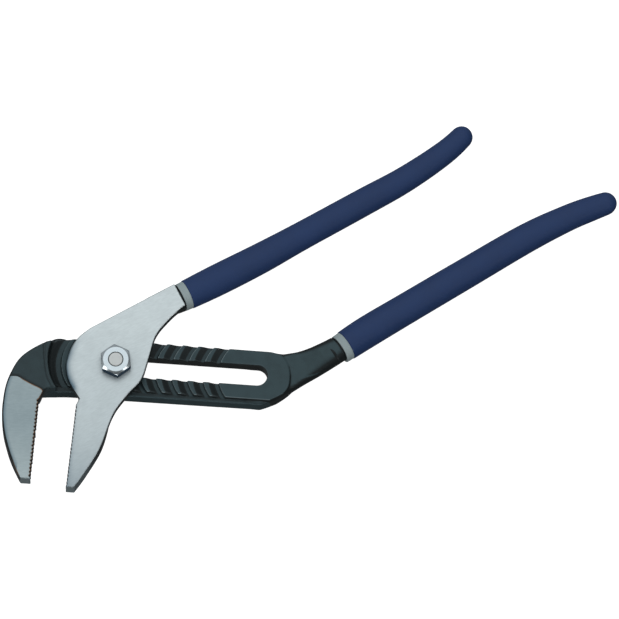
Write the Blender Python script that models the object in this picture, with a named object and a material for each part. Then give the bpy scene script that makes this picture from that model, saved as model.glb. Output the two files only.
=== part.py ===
"""Tongue and groove pliers, 16 inch class, lying on their back.

Two forged levers, a shouldered bolt, a hexagon nut and two vinyl sleeves of two layers each.
The pivot axis stands on the origin. +X runs along the slot from the jaws to the handles, +Z rises
from the flat back of the bolt head to the nut. Lengths below are in millimetres.
"""
import math

import bmesh
import bpy
from mathutils import Vector

MM = 0.001
GAP = 0.3                       # clearance between neighbouring pieces

# Levels above the flat back of the bolt head
BACK_Z = 5.0                    # back face of the rear lever
LEDGE_Z = 13.4                  # ledge beside the rack, a little under the groove floors
FLOOR_Z = 13.8                  # groove floors
PAD_Z = 16.3                    # ridge tops, the sliding face
PLATE_Z = PAD_Z + GAP           # back of the front lever's plate
JAW_BACK_Z = 10.65              # back face of both jaws
FACE_Z = 23.3                   # ground front face of both jaws and the plate

# Rack and slot
PITCH = 10.0                    # distance from groove to groove
GROOVES = 11
FIRST_PIVOT_X = -10.0           # pivot position that belongs to the first groove
BEARING_R = 25.0                # wall that the tongue bears on
RELIEF_R = 31.7                 # far wall of a groove
HEAD_WALL_R = 33.6              # step between the first groove and the head
SLOT_WIDTH = 13.7
SLOT_ENDS_X = (-10.4, 90.2)
PAD_HALF = 15.9
BODY_HALF = 19.0

# Bolt, nut and the hole that they clamp through
HEAD_R = 10.5
SHOULDER_R = 6.5
STUD_R = 4.5
NUT_FLATS = 18.2
NUT_FACE_R = 7.95
NUT_TURN = 40.0                 # degrees from +X to the first corner
NUT_Z = (FACE_Z + GAP, 30.9)
STUD_END_Z = 31.1

# Tongue on the back of the front lever
TONGUE_R = (25.4, 30.2)
TONGUE_HALF_ANGLE = 36.0
TONGUE_Z = 14.2

TOOTH_PITCH = 2.54
TOOTH_DEPTH = 0.8

# Handles: centre line and half width of the finished sleeve, from the front of the grey band to the tip
FRONT_HANDLE = (
    (37.9, 47.9, 9.4), (59.8, 61.6, 10.1), (86.5, 78.4, 9.8), (111.5, 95.2, 9.1), (149.0, 120.4, 8.9),
    (175.0, 138.2, 8.4), (199.0, 158.0, 7.7), (213.2, 174.0, 6.9))
REAR_HANDLE = (
    (141.2, 21.3, 9.7), (157.3, 34.1, 10.2), (181.2, 51.5, 9.9), (217.4, 77.6, 9.7), (253.8, 103.4, 9.4),
    (278.8, 118.8, 8.5), (295.0, 127.1, 7.9), (310.2, 133.7, 6.9))
HANDLE_Z = 15.3                 # middle of the sleeves
SLEEVE_FLATNESS = 0.95          # sleeve thickness over its width
BAND = 4.8                      # grey band left showing in front of the blue
BLUE_WALL = 0.9
GREY_WALL = 0.8
BAND_INSET = 0.35               # how far the grey band lies below the blue
STEEL_INSET = 0.85              # how far the bare steel lies below the blue
CORE_INSET = BLUE_WALL + GREY_WALL + 2 * GAP
TIP_WALL = 1.6
RING = 16                       # corners of a sleeve's section

STEEL = ("ground_steel", (0.62, 0.66, 0.67, 1.0), 0.35, 1.0)
BLACK = ("black_oxide", (0.045, 0.060, 0.065, 1.0), 0.50, 0.4)
ZINC = ("bright_zinc", (0.70, 0.73, 0.77, 1.0), 0.20, 1.0)
BLUE = ("blue_vinyl", (0.030, 0.045, 0.150, 1.0), 0.35, 0.0)
GREY = ("grey_vinyl", (0.33, 0.37, 0.39, 1.0), 0.45, 0.0)


def finish(spec):
    """Return the material of that name, made with a Principled shader on first use."""
    name, colour, roughness, metallic = spec
    material = bpy.data.materials.get(name)
    if material is None:
        material = bpy.data.materials.new(name)
        material.use_nodes = True
        shader = material.node_tree.nodes["Principled BSDF"]
        shader.inputs["Base Color"].default_value = colour
        shader.inputs["Roughness"].default_value = roughness
        shader.inputs["Metallic"].default_value = metallic
        material.diffuse_color = colour
    return material


def add_object(name, bm, spec, parent=None):
    """Turn the faces outwards and put the mesh into the scene as one named object."""
    bmesh.ops.recalc_face_normals(bm, faces=bm.faces)
    mesh = bpy.data.meshes.new(name)
    bm.to_mesh(mesh)
    bm.free()
    mesh.materials.append(finish(spec))
    mesh.shade_smooth()
    mesh.set_sharp_from_angle(angle=math.radians(35))
    obj = bpy.data.objects.new(name, mesh)
    bpy.context.scene.collection.objects.link(obj)
    obj.parent = parent
    return obj


def add_boolean(obj, operation, name, bm):
    """Join, cut or intersect an object with a helper shape that stays hidden."""
    helper = add_object(f"{name}_guide", bm, BLACK, obj.parent)
    helper.hide_render = True
    helper.display_type = "WIRE"
    modifier = obj.modifiers.new(name, "BOOLEAN")
    modifier.operation = operation
    modifier.solver = "EXACT"
    modifier.object = helper


def catmull_rom(points, position):
    """Value of a smooth curve through the points, with position counted in points."""
    last = len(points) - 1
    index = min(int(position), last - 1)
    t = position - index
    before, start, end, after = (
        Vector(points[min(max(index + step, 0), last)]) for step in (-1, 0, 1, 2))
    slope_in = (end - before) / 2
    slope_out = (after - start) / 2
    return (start * (2 * t ** 3 - 3 * t ** 2 + 1) + slope_in * (t ** 3 - 2 * t ** 2 + t)
            + end * (3 * t ** 2 - 2 * t ** 3) + slope_out * (t ** 3 - t ** 2))


def smooth_run(points, steps=3):
    """Points along a smooth curve through the given ones, both ends included."""
    count = (len(points) - 1) * steps
    return [tuple(catmull_rom(points, i / steps)) for i in range(count + 1)]


def arc(centre, radius, start, end, steps):
    """Points of an arc between two angles in degrees."""
    angles = (math.radians(start + (end - start) * i / steps) for i in range(steps + 1))
    return [(centre[0] + radius * math.cos(a), centre[1] + radius * math.sin(a)) for a in angles]


def toothed_edge(start, end, depth):
    """Zigzag between two points: crests on the line, roots to its left by the depth."""
    start, end = Vector(start), Vector(end)
    count = round((end - start).length / TOOTH_PITCH)
    step = (end - start) / count
    root = Vector((-step.y, step.x)).normalized() * depth + step * 0.5
    points = []
    for i in range(count):
        crest = start + step * i
        points += [tuple(crest), tuple(crest + root)]
    return points + [tuple(end)]


def add_prism(bm, outline, low, high):
    """Add an upright solid of the outline between two levels."""
    rings = [[bm.verts.new(Vector((x, y, z)) * MM) for x, y in outline] for z in (low, high)]
    bottom, top = rings
    bm.faces.new(bottom)
    bm.faces.new(top)
    for i in range(len(outline)):
        j = (i + 1) % len(outline)
        bm.faces.new((bottom[i], bottom[j], top[j], top[i]))


def prism(outline, low, high):
    """A new mesh that holds one upright solid."""
    bm = bmesh.new()
    add_prism(bm, outline, low, high)
    return bm


def turned(profile, segments, centre=(0.0, 0.0)):
    """Solid of revolution about an upright axis from (radius, height) pairs, bottom to top."""
    bm = bmesh.new()
    rings = []
    for radius, height in profile:
        corners = arc(centre, radius, 0, 360, segments)[:-1]
        rings.append([bm.verts.new(Vector((x, y, height)) * MM) for x, y in corners])
    bm.faces.new(rings[0])
    bm.faces.new(rings[-1])
    join_rings(bm, rings)
    return bm


def join_rings(bm, rings):
    """Bridge each closed ring of vertices to the next."""
    for lower, upper in zip(rings, rings[1:]):
        for i in range(len(lower)):
            j = (i + 1) % len(lower)
            bm.faces.new((lower[i], lower[j], upper[j], upper[i]))


def section(bm, centre, heading, half_width, middle, half_height, power):
    """Ring of vertices on a superellipse that stands across the heading."""
    side = Vector((-heading.y, heading.x, 0.0))
    ring = []
    for i in range(RING):
        angle = 2 * math.pi * i / RING
        across = math.copysign(abs(math.cos(angle)) ** (2 / power), math.cos(angle)) * half_width
        rise = math.copysign(abs(math.sin(angle)) ** (2 / power), math.sin(angle)) * half_height
        point = Vector((centre.x, centre.y, middle)) + side * across + Vector((0, 0, rise))
        ring.append(bm.verts.new(point * MM))
    return ring


class Handle:
    """Centre line of a handle, measured in millimetres from the front of the grey band."""

    def __init__(self, stations, samples=240):
        last = len(stations) - 1
        self.points = [catmull_rom(stations, last * i / samples) for i in range(samples + 1)]
        self.run = [0.0]
        for a, b in zip(self.points, self.points[1:]):
            self.run.append(self.run[-1] + (b.xy - a.xy).length)
        self.length = self.run[-1]

    def at(self, distance):
        """Centre, heading and sleeve half width at a distance, straight on past the front."""
        i = 0
        while i < len(self.run) - 2 and self.run[i + 1] < distance:
            i += 1
        a, b = self.points[i], self.points[i + 1]
        t = (distance - self.run[i]) / (self.run[i + 1] - self.run[i])
        heading = (b.xy - a.xy).normalized()
        half = a.z if distance < 0 else a.z + (b.z - a.z) * t
        return a.xy + (b.xy - a.xy) * t, heading, half

    def ring(self, bm, distance, inset, end):
        """Section of the sleeve shrunk by an inset, closing as a dome towards the end distance."""
        centre, heading, half = self.at(distance)
        dome = half - inset
        into = max(0.0, distance - (end - dome)) / dome
        shrink = math.sqrt(max(0.0, 1.0 - into * into))
        width = (half - inset) * shrink
        height = (half * SLEEVE_FLATNESS - inset) * shrink
        return section(bm, centre, heading, width, HANDLE_Z, height, 2.3)

    def surface(self, bm, start, inset, end, stops=12):
        """Rings from a start to a rounded end, closed there by a pole."""
        dome = self.at(end)[2] - inset
        straight = end - dome - start
        distances = [start + straight * i / stops for i in range(stops)]
        distances += [end - dome + dome * math.sin(math.radians(a)) for a in (0, 30, 55, 75)]
        rings = [self.ring(bm, d, inset, end) for d in distances]
        join_rings(bm, rings)
        centre = self.at(end)[0]
        pole = bm.verts.new(Vector((centre.x, centre.y, HANDLE_Z)) * MM)
        for i in range(RING):
            bm.faces.new((rings[-1][i], rings[-1][(i + 1) % RING], pole))
        return rings[0]


def add_sleeves(handle, grip_name, liner_name, parent):
    """The blue outer cup and the grey inner cup whose front stands out as a band."""
    blue = bmesh.new()
    front = BAND + GAP
    outer = handle.surface(blue, front, 0.0, handle.length)
    inner = handle.surface(blue, front, BLUE_WALL, handle.length - TIP_WALL)
    join_rings(blue, [outer, inner])
    add_object(grip_name, blue, BLUE, parent)

    grey = bmesh.new()
    tip = handle.length - TIP_WALL - GAP
    covered = handle.surface(grey, BAND, BLUE_WALL + GAP, tip)
    band = [handle.ring(grey, d, BAND_INSET, handle.length) for d in (BAND, 0.0)]
    inner = handle.surface(grey, 0.0, CORE_INSET - GAP, tip - TIP_WALL)
    join_rings(grey, [covered, band[0], band[1], inner])
    add_object(liner_name, grey, GREY, parent)


def handle_steel(handle, root):
    """Root stations that swell into the full section, then the core that fills the sleeve.

    Each root station is (x, y, half width, middle height, half height, power of the section).
    """
    bm = bmesh.new()
    rings = []
    heading = handle.at(0.0)[1]
    for index, (x, y, half, middle, rise, power) in enumerate(root):
        follow = root[min(index + 1, len(root) - 1)]
        step = Vector((follow[0] - x, follow[1] - y))
        course = step.normalized() if step.length else heading
        rings.append(section(bm, Vector((x, y)), course, half, middle, rise, power))
    rings.append(handle.ring(bm, -GAP, STEEL_INSET, handle.length))
    core = handle.surface(bm, -GAP, CORE_INSET, handle.length - 2 * TIP_WALL - 2 * GAP)
    join_rings(bm, rings + [core])
    bm.faces.new(rings[0])
    return bm


def rack_outline():
    """Sliding pad seen from the front, with the round end that faces the handle."""
    right = smooth_run([(98.0, PAD_HALF), (104.0, 14.3), (108.5, 8.6), (110.7, 1.0), (110.2, -6.0)])
    return [(-45.0, -PAD_HALF), (-45.0, PAD_HALF)] + right + [(106.6, -11.4), (99.5, -PAD_HALF)]


def body_outline():
    """Outer edge of the rack's body and the lower half of the head."""
    head = smooth_run([(-67.4, -16.0), (-65.9, -9.2), (-61.8, -1.1), (-55.8, 5.2), (-46.8, 11.8), (-38.0, 16.0)])
    root = smooth_run([(97.0, 17.2), (105.0, 15.4), (110.0, 9.2), (112.2, 1.2), (111.6, -6.4), (107.0, -12.6)])
    return head + [(-30.0, 17.2)] + root + [(97.0, -BODY_HALF), (-36.0, -BODY_HALF), (-41.0, -20.4),
                                            (-48.0, -21.0), (-62.0, -21.0)]


def rear_jaw_outline():
    """Hooked jaw and head: tip, teeth, throat, the step to the rack and the outer curve."""
    teeth = toothed_edge((-48.1, -80.0), (-46.7, -27.4), TOOTH_DEPTH)
    throat = smooth_run([(-46.1, -25.2), (-44.2, -22.6), (-41.0, -21.0)])
    wall_top = 180.0 - math.degrees(math.asin(15.7 / HEAD_WALL_R))
    wall_bottom = 180.0 + math.degrees(math.asin(20.4 / HEAD_WALL_R))
    step = arc((FIRST_PIVOT_X, 0.0), HEAD_WALL_R, wall_bottom, wall_top, 8)
    outer = smooth_run([
        (-46.8, 11.8), (-55.8, 5.2), (-61.9, -1.1), (-66.2, -9.2), (-68.9, -19.0), (-70.0, -29.5),
        (-69.9, -39.4), (-68.3, -50.0), (-65.5, -59.6), (-61.7, -69.2), (-55.3, -80.9)], 2)
    return [(-47.9, -80.9)] + teeth + throat + step + outer


def groove_outline(index):
    """One groove across the rack, between two arcs about its own pivot position."""
    pivot = (FIRST_PIVOT_X + PITCH * index, 0.0)
    reach = PAD_HALF + 1.5
    outer = RELIEF_R if index else HEAD_WALL_R
    near = math.degrees(math.asin(reach / BEARING_R))
    far = math.degrees(math.asin(reach / outer))
    return arc(pivot, BEARING_R, 180 - near, 180 + near, 8) + arc(pivot, outer, 180 + far, 180 - far, 8)


def slot_outline():
    """Round-ended slot that the bolt slides in."""
    left, right = SLOT_ENDS_X
    radius = SLOT_WIDTH / 2
    return arc((right, 0.0), radius, -90, 90, 12) + arc((left, 0.0), radius, 90, 270, 12)


def build_rear_lever(handle, parent):
    """Black forging: jaw and head, slotted rack with its grooves, shank and handle core."""
    lever = add_object("rear_lever", prism(body_outline(), BACK_Z, LEDGE_Z), BLACK, parent)
    add_boolean(lever, "UNION", "jaw", prism(rear_jaw_outline(), JAW_BACK_Z, FACE_Z))
    add_boolean(lever, "UNION", "rack", prism(rack_outline(), LEDGE_Z - 1.0, PAD_Z))
    grooves = bmesh.new()
    for index in range(GROOVES):
        add_prism(grooves, groove_outline(index), FLOOR_Z, PAD_Z + 1.0)
    add_boolean(lever, "DIFFERENCE", "grooves", grooves)
    shank = (
        (97.0, -1.2, 17.0, 10.2, 4.9, 6.0), (110.0, 3.0, 13.3, 10.9, 5.5, 5.0),
        (118.0, 7.8, 10.9, 11.8, 6.2, 4.5), (127.5, 12.6, 9.3, 12.9, 7.0, 4.0),
        (136.0, 17.7, 8.7, 14.2, 7.7, 3.0))
    add_boolean(lever, "UNION", "shank", handle_steel(handle, shank))
    add_boolean(lever, "DIFFERENCE", "slot", prism(slot_outline(), BACK_Z - 3.0, FACE_Z + 3.0))


def front_plate_outline():
    """Front lever seen from the nut side, from the grey band round by the jaw and back."""
    bulge = smooth_run([(-17.8, 21.5), (-24.6, 15.4), (-29.0, 8.6), (-31.4, 1.0), (-31.8, -6.0),
                        (-28.9, -14.6), (-21.2, -25.6)])
    teeth = toothed_edge((-23.1, -30.2), (-25.3, -83.7), TOOTH_DEPTH)
    right = smooth_run([
        (-20.1, -84.6), (-14.3, -74.5), (-5.4, -57.2), (0.5, -34.3), (8.9, -20.0), (17.0, -9.6), (20.6, 4.6),
        (24.0, 19.9), (32.0, 30.2), (41.2, 39.2)])
    return [(32.3, 53.7)] + bulge + teeth + [(-25.3, -84.7)] + right


def front_jaw_outline():
    """Full-thickness part of the front jaw, which clears the rail through the whole swing."""
    teeth = toothed_edge((-23.1, -30.2), (-25.3, -83.7), TOOTH_DEPTH)
    right = smooth_run([(-20.1, -84.6), (-14.3, -74.5), (-5.4, -57.2), (-2.2, -43.0), (-1.4, -33.0)])
    return [(-21.6, -25.4), (-22.4, -22.8), (-9.6, -21.2)] + right[::-1] + [(-25.3, -84.7)] + teeth[::-1]


def tongue_outline():
    """Curved rib that drops into one groove."""
    low, high = 180 - TONGUE_HALF_ANGLE, 180 + TONGUE_HALF_ANGLE
    inner, outer = TONGUE_R
    return arc((0.0, 0.0), inner, low, high, 10) + arc((0.0, 0.0), outer, high, low, 10)


def build_front_lever(handle, parent):
    """Bright lever: flat plate over the rack, thick jaw, tongue, handle root and core."""
    lever = add_object("front_lever", prism(front_plate_outline(), PLATE_Z, FACE_Z), STEEL, parent)
    add_boolean(lever, "UNION", "thick_jaw", prism(front_jaw_outline(), JAW_BACK_Z, PLATE_Z + 1.0))
    add_boolean(lever, "UNION", "tongue", prism(tongue_outline(), TONGUE_Z, PLATE_Z + 1.0))
    root = (
        (22.0, 37.4, 7.6, 19.4, 3.3, 6.0), (27.5, 40.8, 8.1, 17.6, 5.2, 5.0), (33.0, 44.2, 8.4, 15.6, 7.4, 4.0))
    add_boolean(lever, "UNION", "handle", handle_steel(handle, root))
    bore = turned(((STUD_R + GAP, PAD_Z - 3.0), (STUD_R + GAP, FACE_Z + 3.0)), 48)
    add_boolean(lever, "DIFFERENCE", "bore", bore)


def build_bolt(parent):
    """Shouldered bolt: flat head at the back, shoulder in the slot, stud through the plate."""
    shoulder_z = PLATE_Z - GAP
    head_z = BACK_Z - GAP
    profile = (
        (HEAD_R - 1.0, 0.0), (HEAD_R, 1.0), (HEAD_R, head_z), (SHOULDER_R, head_z), (SHOULDER_R, shoulder_z),
        (STUD_R, shoulder_z), (STUD_R, STUD_END_Z - 0.5), (STUD_R - 0.5, STUD_END_Z))
    add_object("pivot_bolt", turned(profile, 48), ZINC, parent)


def build_nut(parent):
    """Hexagon nut, its corners chamfered on top by a cone."""
    low, high = NUT_Z
    corner_r = NUT_FLATS / math.sqrt(3.0)
    corners = [math.radians(NUT_TURN + 60 * i) for i in range(6)]
    hexagon = [(corner_r * math.cos(a), corner_r * math.sin(a)) for a in corners]
    nut = add_object("pivot_nut", prism(hexagon, low, high), ZINC, parent)
    drop = (corner_r + 1.0 - NUT_FACE_R) * math.tan(math.radians(33))
    cone = turned(((corner_r + 1.0, low - 1.0), (corner_r + 1.0, high - drop), (NUT_FACE_R, high)), 48)
    add_boolean(nut, "INTERSECT", "chamfer", cone)
    add_boolean(nut, "DIFFERENCE", "thread", turned(((STUD_R + GAP, low - 2.0), (STUD_R + GAP, high + 2.0)), 48))


def add_empty(name, parent=None):
    """Empty on the pivot axis that carries the pieces of one moving body."""
    empty = bpy.data.objects.new(name, None)
    bpy.context.scene.collection.objects.link(empty)
    empty.parent = parent
    return empty


def main():
    """Build every piece of the pliers."""
    for obj in list(bpy.data.objects):
        bpy.data.objects.remove(obj)
    slide = add_empty("groove_slide")
    swing = add_empty("lever_hinge", slide)
    rear, front = Handle(REAR_HANDLE), Handle(FRONT_HANDLE)
    build_rear_lever(rear, None)
    add_sleeves(rear, "rear_grip", "rear_grip_liner", None)
    build_bolt(slide)
    build_nut(slide)
    build_front_lever(front, swing)
    add_sleeves(front, "front_grip", "front_grip_liner", swing)


main()
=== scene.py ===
"""Looks of the tongue and groove pliers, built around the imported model.

Lengths are in millimetres in the row frame, and become metres where a mesh is made. The two forged
levers are skins drawn over a distance field, so that their fillets run into each other as forged steel
does. The sleeves, bolt and nut are grids of two parameters.
"""
from __future__ import annotations

import logging
import math
from dataclasses import dataclass
from enum import Enum

import bpy
import numpy as np
from mathutils import Matrix, Vector

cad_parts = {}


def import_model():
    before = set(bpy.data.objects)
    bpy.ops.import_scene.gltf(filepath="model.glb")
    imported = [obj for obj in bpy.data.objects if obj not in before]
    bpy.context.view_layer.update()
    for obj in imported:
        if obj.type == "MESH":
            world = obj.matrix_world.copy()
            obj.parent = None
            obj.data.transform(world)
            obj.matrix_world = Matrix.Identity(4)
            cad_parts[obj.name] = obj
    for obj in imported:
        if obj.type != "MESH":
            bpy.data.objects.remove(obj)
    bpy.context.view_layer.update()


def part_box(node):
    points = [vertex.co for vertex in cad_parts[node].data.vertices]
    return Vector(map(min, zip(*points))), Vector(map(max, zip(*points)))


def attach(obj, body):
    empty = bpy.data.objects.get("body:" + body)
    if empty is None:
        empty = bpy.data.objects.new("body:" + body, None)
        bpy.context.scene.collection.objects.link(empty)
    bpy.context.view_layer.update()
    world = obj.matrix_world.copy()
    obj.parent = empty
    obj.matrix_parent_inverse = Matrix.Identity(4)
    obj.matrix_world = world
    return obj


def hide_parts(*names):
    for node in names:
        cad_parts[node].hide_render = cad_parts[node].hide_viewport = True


LOG = logging.getLogger("pliers")
MM = 0.001
Array = np.ndarray


class Slot(Enum):
    """Material slots of the record."""

    BLACK = "black_oxide"
    STEEL = "ground_steel"
    ZINC = "bright_zinc"
    BLUE = "blue_vinyl"
    GREY = "grey_vinyl"


class Body(Enum):
    """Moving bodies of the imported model."""

    REAR = "rear_lever"
    PIVOT = "pivot"
    FRONT = "front_lever"


# ---------------------------------------------------------------------------------------------
# Curves in the plane
# ---------------------------------------------------------------------------------------------

def smooth_run(points: Array | list, steps: int = 8) -> Array:
    """Catmull-Rom curve through points of any dimension.

    Args:
        points: Points in order.
        steps: Samples between each pair.

    Returns:
        Samples with both ends included. Between two points the value is the cubic whose end slopes are
        half the difference of the neighbours on both sides.
    """
    points = np.asarray(points, float)
    last = len(points) - 1
    position = np.linspace(0, last, last * steps + 1)
    index = np.minimum(position.astype(int), last - 1)
    t = (position - index)[:, None]
    before, start = points[np.maximum(index - 1, 0)], points[index]
    end, after = points[index + 1], points[np.minimum(index + 2, last)]
    return (start * (2 * t ** 3 - 3 * t ** 2 + 1) + (end - before) / 2 * (t ** 3 - 2 * t ** 2 + t)
            + end * (3 * t ** 2 - 2 * t ** 3) + (after - start) / 2 * (t ** 3 - t ** 2))


def arc(centre: tuple[float, float], radius: float, start: float, end: float, steps: int = 24) -> Array:
    """Points of an arc between two angles in degrees."""
    angle = np.radians(np.linspace(start, end, steps + 1))
    return np.stack([centre[0] + radius * np.cos(angle), centre[1] + radius * np.sin(angle)], axis=1)


def toothed_edge(start: tuple, end: tuple, pitch: float, depth: float) -> Array:
    """Zigzag between two points, crests on the line and roots to its left by the depth."""
    start, end = np.array(start, float), np.array(end, float)
    count = round(float(np.linalg.norm(end - start)) / pitch)
    step = (end - start) / count
    left = np.array([-step[1], step[0]]) / np.linalg.norm(step)
    crests = start + step * np.arange(count + 1)[:, None]
    roots = crests[:-1] + step / 2 + left * depth
    points = np.empty((2 * count + 1, 2))
    points[0::2], points[1::2] = crests, roots
    return points


# ---------------------------------------------------------------------------------------------
# Distance fields and the skin drawn over them
# ---------------------------------------------------------------------------------------------

@dataclass(frozen=True)
class Lattice:
    """Box of evenly spaced sample points, in millimetres."""

    low: tuple[float, float, float]
    high: tuple[float, float, float]
    cell: float

    def axes(self) -> tuple[Array, Array, Array]:
        """Coordinates along X, Y and Z, shaped so that they broadcast to the whole box."""
        x, y, z = (np.arange(a, b + self.cell, self.cell) for a, b in zip(self.low, self.high))
        return x[:, None, None], y[None, :, None], z[None, None, :]


def outline_field(outline: Array, x: Array, y: Array) -> Array:
    """Signed distance from a closed outline, negative inside.

    Args:
        outline: Corners in order.
        x: X of the samples.
        y: Y of the samples, of the same shape or broadcasting with x.

    Returns:
        The distance to the nearest edge. Its sign turns over at each edge that a line to +X crosses.
    """
    x, y = np.broadcast_arrays(x, y)
    nearest = np.full(x.shape, np.inf)
    inside = np.zeros(x.shape, bool)
    for (ax, ay), (bx, by) in zip(outline, np.roll(outline, -1, axis=0)):
        ex, ey = bx - ax, by - ay
        px, py = x - ax, y - ay
        t = np.clip((px * ex + py * ey) / max(ex * ex + ey * ey, 1e-12), 0, 1)
        nearest = np.minimum(nearest, (px - ex * t) ** 2 + (py - ey * t) ** 2)
        if ay != by:
            inside ^= ((ay > y) != (by > y)) & (px < ex * py / ey)
    return np.where(inside, -1.0, 1.0) * np.sqrt(nearest)


def soft_union(a: Array, b: Array, blend: float) -> Array:
    """Lesser of two fields, with a fillet about as wide as blend where they meet."""
    t = np.clip(0.5 + 0.5 * (b - a) / blend, 0, 1)
    return b + (a - b) * t - blend * t * (1 - t)


def soft_common(a: Array, b: Array, blend: float) -> Array:
    """Greater of two fields, with an edge rounded by about blend."""
    return -soft_union(-a, -b, blend)


def skin(field: Array, lattice: Lattice) -> tuple[Array, Array, Array, Array]:
    """Surface where a field is zero.

    Each lattice cell that the surface crosses gets one point, the mean of the crossings on its edges,
    and each crossed lattice edge gets the square face that joins the four cells around it.

    Args:
        field: Values on the lattice, negative inside, positive all round the border.
        lattice: The sample points.

    Returns:
        Points, faces of four point numbers facing out, the outward direction at each point, and how
        convex the surface is there.
    """
    shape = np.array(field.shape)
    cells = tuple(shape - 1)
    total = np.zeros(cells + (3,))
    count = np.zeros(cells)
    crossed = []
    for axis in range(3):
        low = np.take(field, np.arange(shape[axis] - 1), axis)
        high = np.take(field, np.arange(1, shape[axis]), axis)
        crossing = (low < 0) != (high < 0)
        share = np.where(crossing, low / np.where(crossing, low - high, 1.0), 0.0)
        crossed.append((crossing, low < 0))
        sides = [a for a in range(3) if a != axis]
        for first in (0, 1):
            for second in (0, 1):
                window = [slice(None)] * 3
                window[sides[0]] = slice(first, cells[sides[0]] + first)
                window[sides[1]] = slice(second, cells[sides[1]] + second)
                hit = crossing[tuple(window)]
                count += hit
                total[..., axis] += share[tuple(window)]
                total[..., sides[0]] += hit * first
                total[..., sides[1]] += hit * second
    used = count > 0
    number = np.full(cells, -1)
    number[used] = np.arange(used.sum())
    where = np.argwhere(used)
    points = (where + total[used] / count[used][:, None]) * lattice.cell + np.array(lattice.low)
    faces = []
    for axis, (crossing, outward) in enumerate(crossed):
        one, two = (axis + 1) % 3, (axis + 2) % 3
        at = np.argwhere(crossing)
        at = at[(at[:, one] > 0) & (at[:, two] > 0)]
        at = at[(at[:, one] < cells[one]) & (at[:, two] < cells[two])]
        ring = []
        for back_one, back_two in ((1, 1), (0, 1), (0, 0), (1, 0)):
            cell = at.copy()
            cell[:, one] -= back_one
            cell[:, two] -= back_two
            ring.append(number[tuple(cell.T)])
        quad = np.stack(ring, axis=1)
        turn = ~outward[tuple(at.T)]
        quad[turn] = quad[turn][:, ::-1]
        faces.append(quad)
    slopes = [np.gradient(field, lattice.cell, axis=a) for a in range(3)]
    bend = sum(np.gradient(slope, lattice.cell, axis=a) for a, slope in enumerate(slopes))
    at = tuple(where.T)
    outward = np.stack([slope[at] for slope in slopes], axis=1)
    outward /= np.maximum(np.linalg.norm(outward, axis=1, keepdims=True), 1e-9)
    return points, np.concatenate(faces), outward, bend[at]


# ---------------------------------------------------------------------------------------------
# Meshes
# ---------------------------------------------------------------------------------------------

def ring_faces(rows: int, columns: int, bands: int) -> Array:
    """Faces of a grid that closes on itself along its columns, and along its rows too if bands is rows."""
    row, column = np.meshgrid(np.arange(bands), np.arange(columns), indexing="ij")
    beside, after = (column + 1) % columns, (row + 1) % rows * columns
    row = row * columns
    return np.stack([row + column, row + beside, after + beside, after + column], axis=-1).reshape(-1, 4)


def closed_grid(grid: Array, first_pole: Array, last_pole: Array) -> tuple[Array, list]:
    """Points and faces of a wrapped grid closed by a fan at both ends."""
    rows, columns = grid.shape[:2]
    points = np.concatenate([grid.reshape(-1, 3), [first_pole, last_pole]])
    faces = [tuple(face) for face in ring_faces(rows, columns, rows - 1)]
    around = np.arange(columns)
    beside = (around + 1) % columns
    final = (rows - 1) * columns
    faces += list(zip(beside, around, np.full(columns, rows * columns)))
    faces += list(zip(final + around, final + beside, np.full(columns, rows * columns + 1)))
    return points, faces


def add_piece(name: str, points: Array, faces: list | Array, material: bpy.types.Material, body: Body,
              slot: Slot, nodes: tuple[str, ...], sharp: float = 180.0) -> bpy.types.Object:
    """Make a finished piece that rides on a body and stands for CAD nodes.

    Args:
        name: Piece name.
        points: Points in millimetres in the row frame.
        faces: Faces as point numbers, facing out.
        material: Its finish.
        body: The body that it rides on.
        slot: The record's slot; not used.
        nodes: CAD nodes that it replaces.
        sharp: Edges above this angle in degrees stay sharp.

    Returns:
        The new object.
    """
    mesh = bpy.data.meshes.new(name)
    mesh.from_pydata(np.asarray(points) * MM, [], faces if isinstance(faces, list) else faces.tolist())
    mesh.validate()
    mesh.shade_smooth()
    if sharp < 180.0:
        mesh.set_sharp_from_angle(angle=math.radians(sharp))
    mesh.materials.append(material)
    piece = bpy.data.objects.new(name, mesh)
    bpy.context.scene.collection.objects.link(piece)
    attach(piece, body.value)
    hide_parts(*nodes)
    LOG.info("%s: %d points, %d faces", name, len(mesh.vertices), len(mesh.polygons))
    return piece


def add_masks(piece: bpy.types.Object, **masks: tuple[Array, float]) -> None:
    """Store named numbers on the points of a mesh, each with the value for the points past its array."""
    total = len(piece.data.vertices)
    for name, (values, rest) in masks.items():
        layer = piece.data.attributes.new(name, "FLOAT", "POINT")
        full = np.full(total, rest, np.float32)
        full[:len(values)] = values
        layer.data.foreach_set("value", full)


# ---------------------------------------------------------------------------------------------
# Shader groups and finishes
# ---------------------------------------------------------------------------------------------

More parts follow.
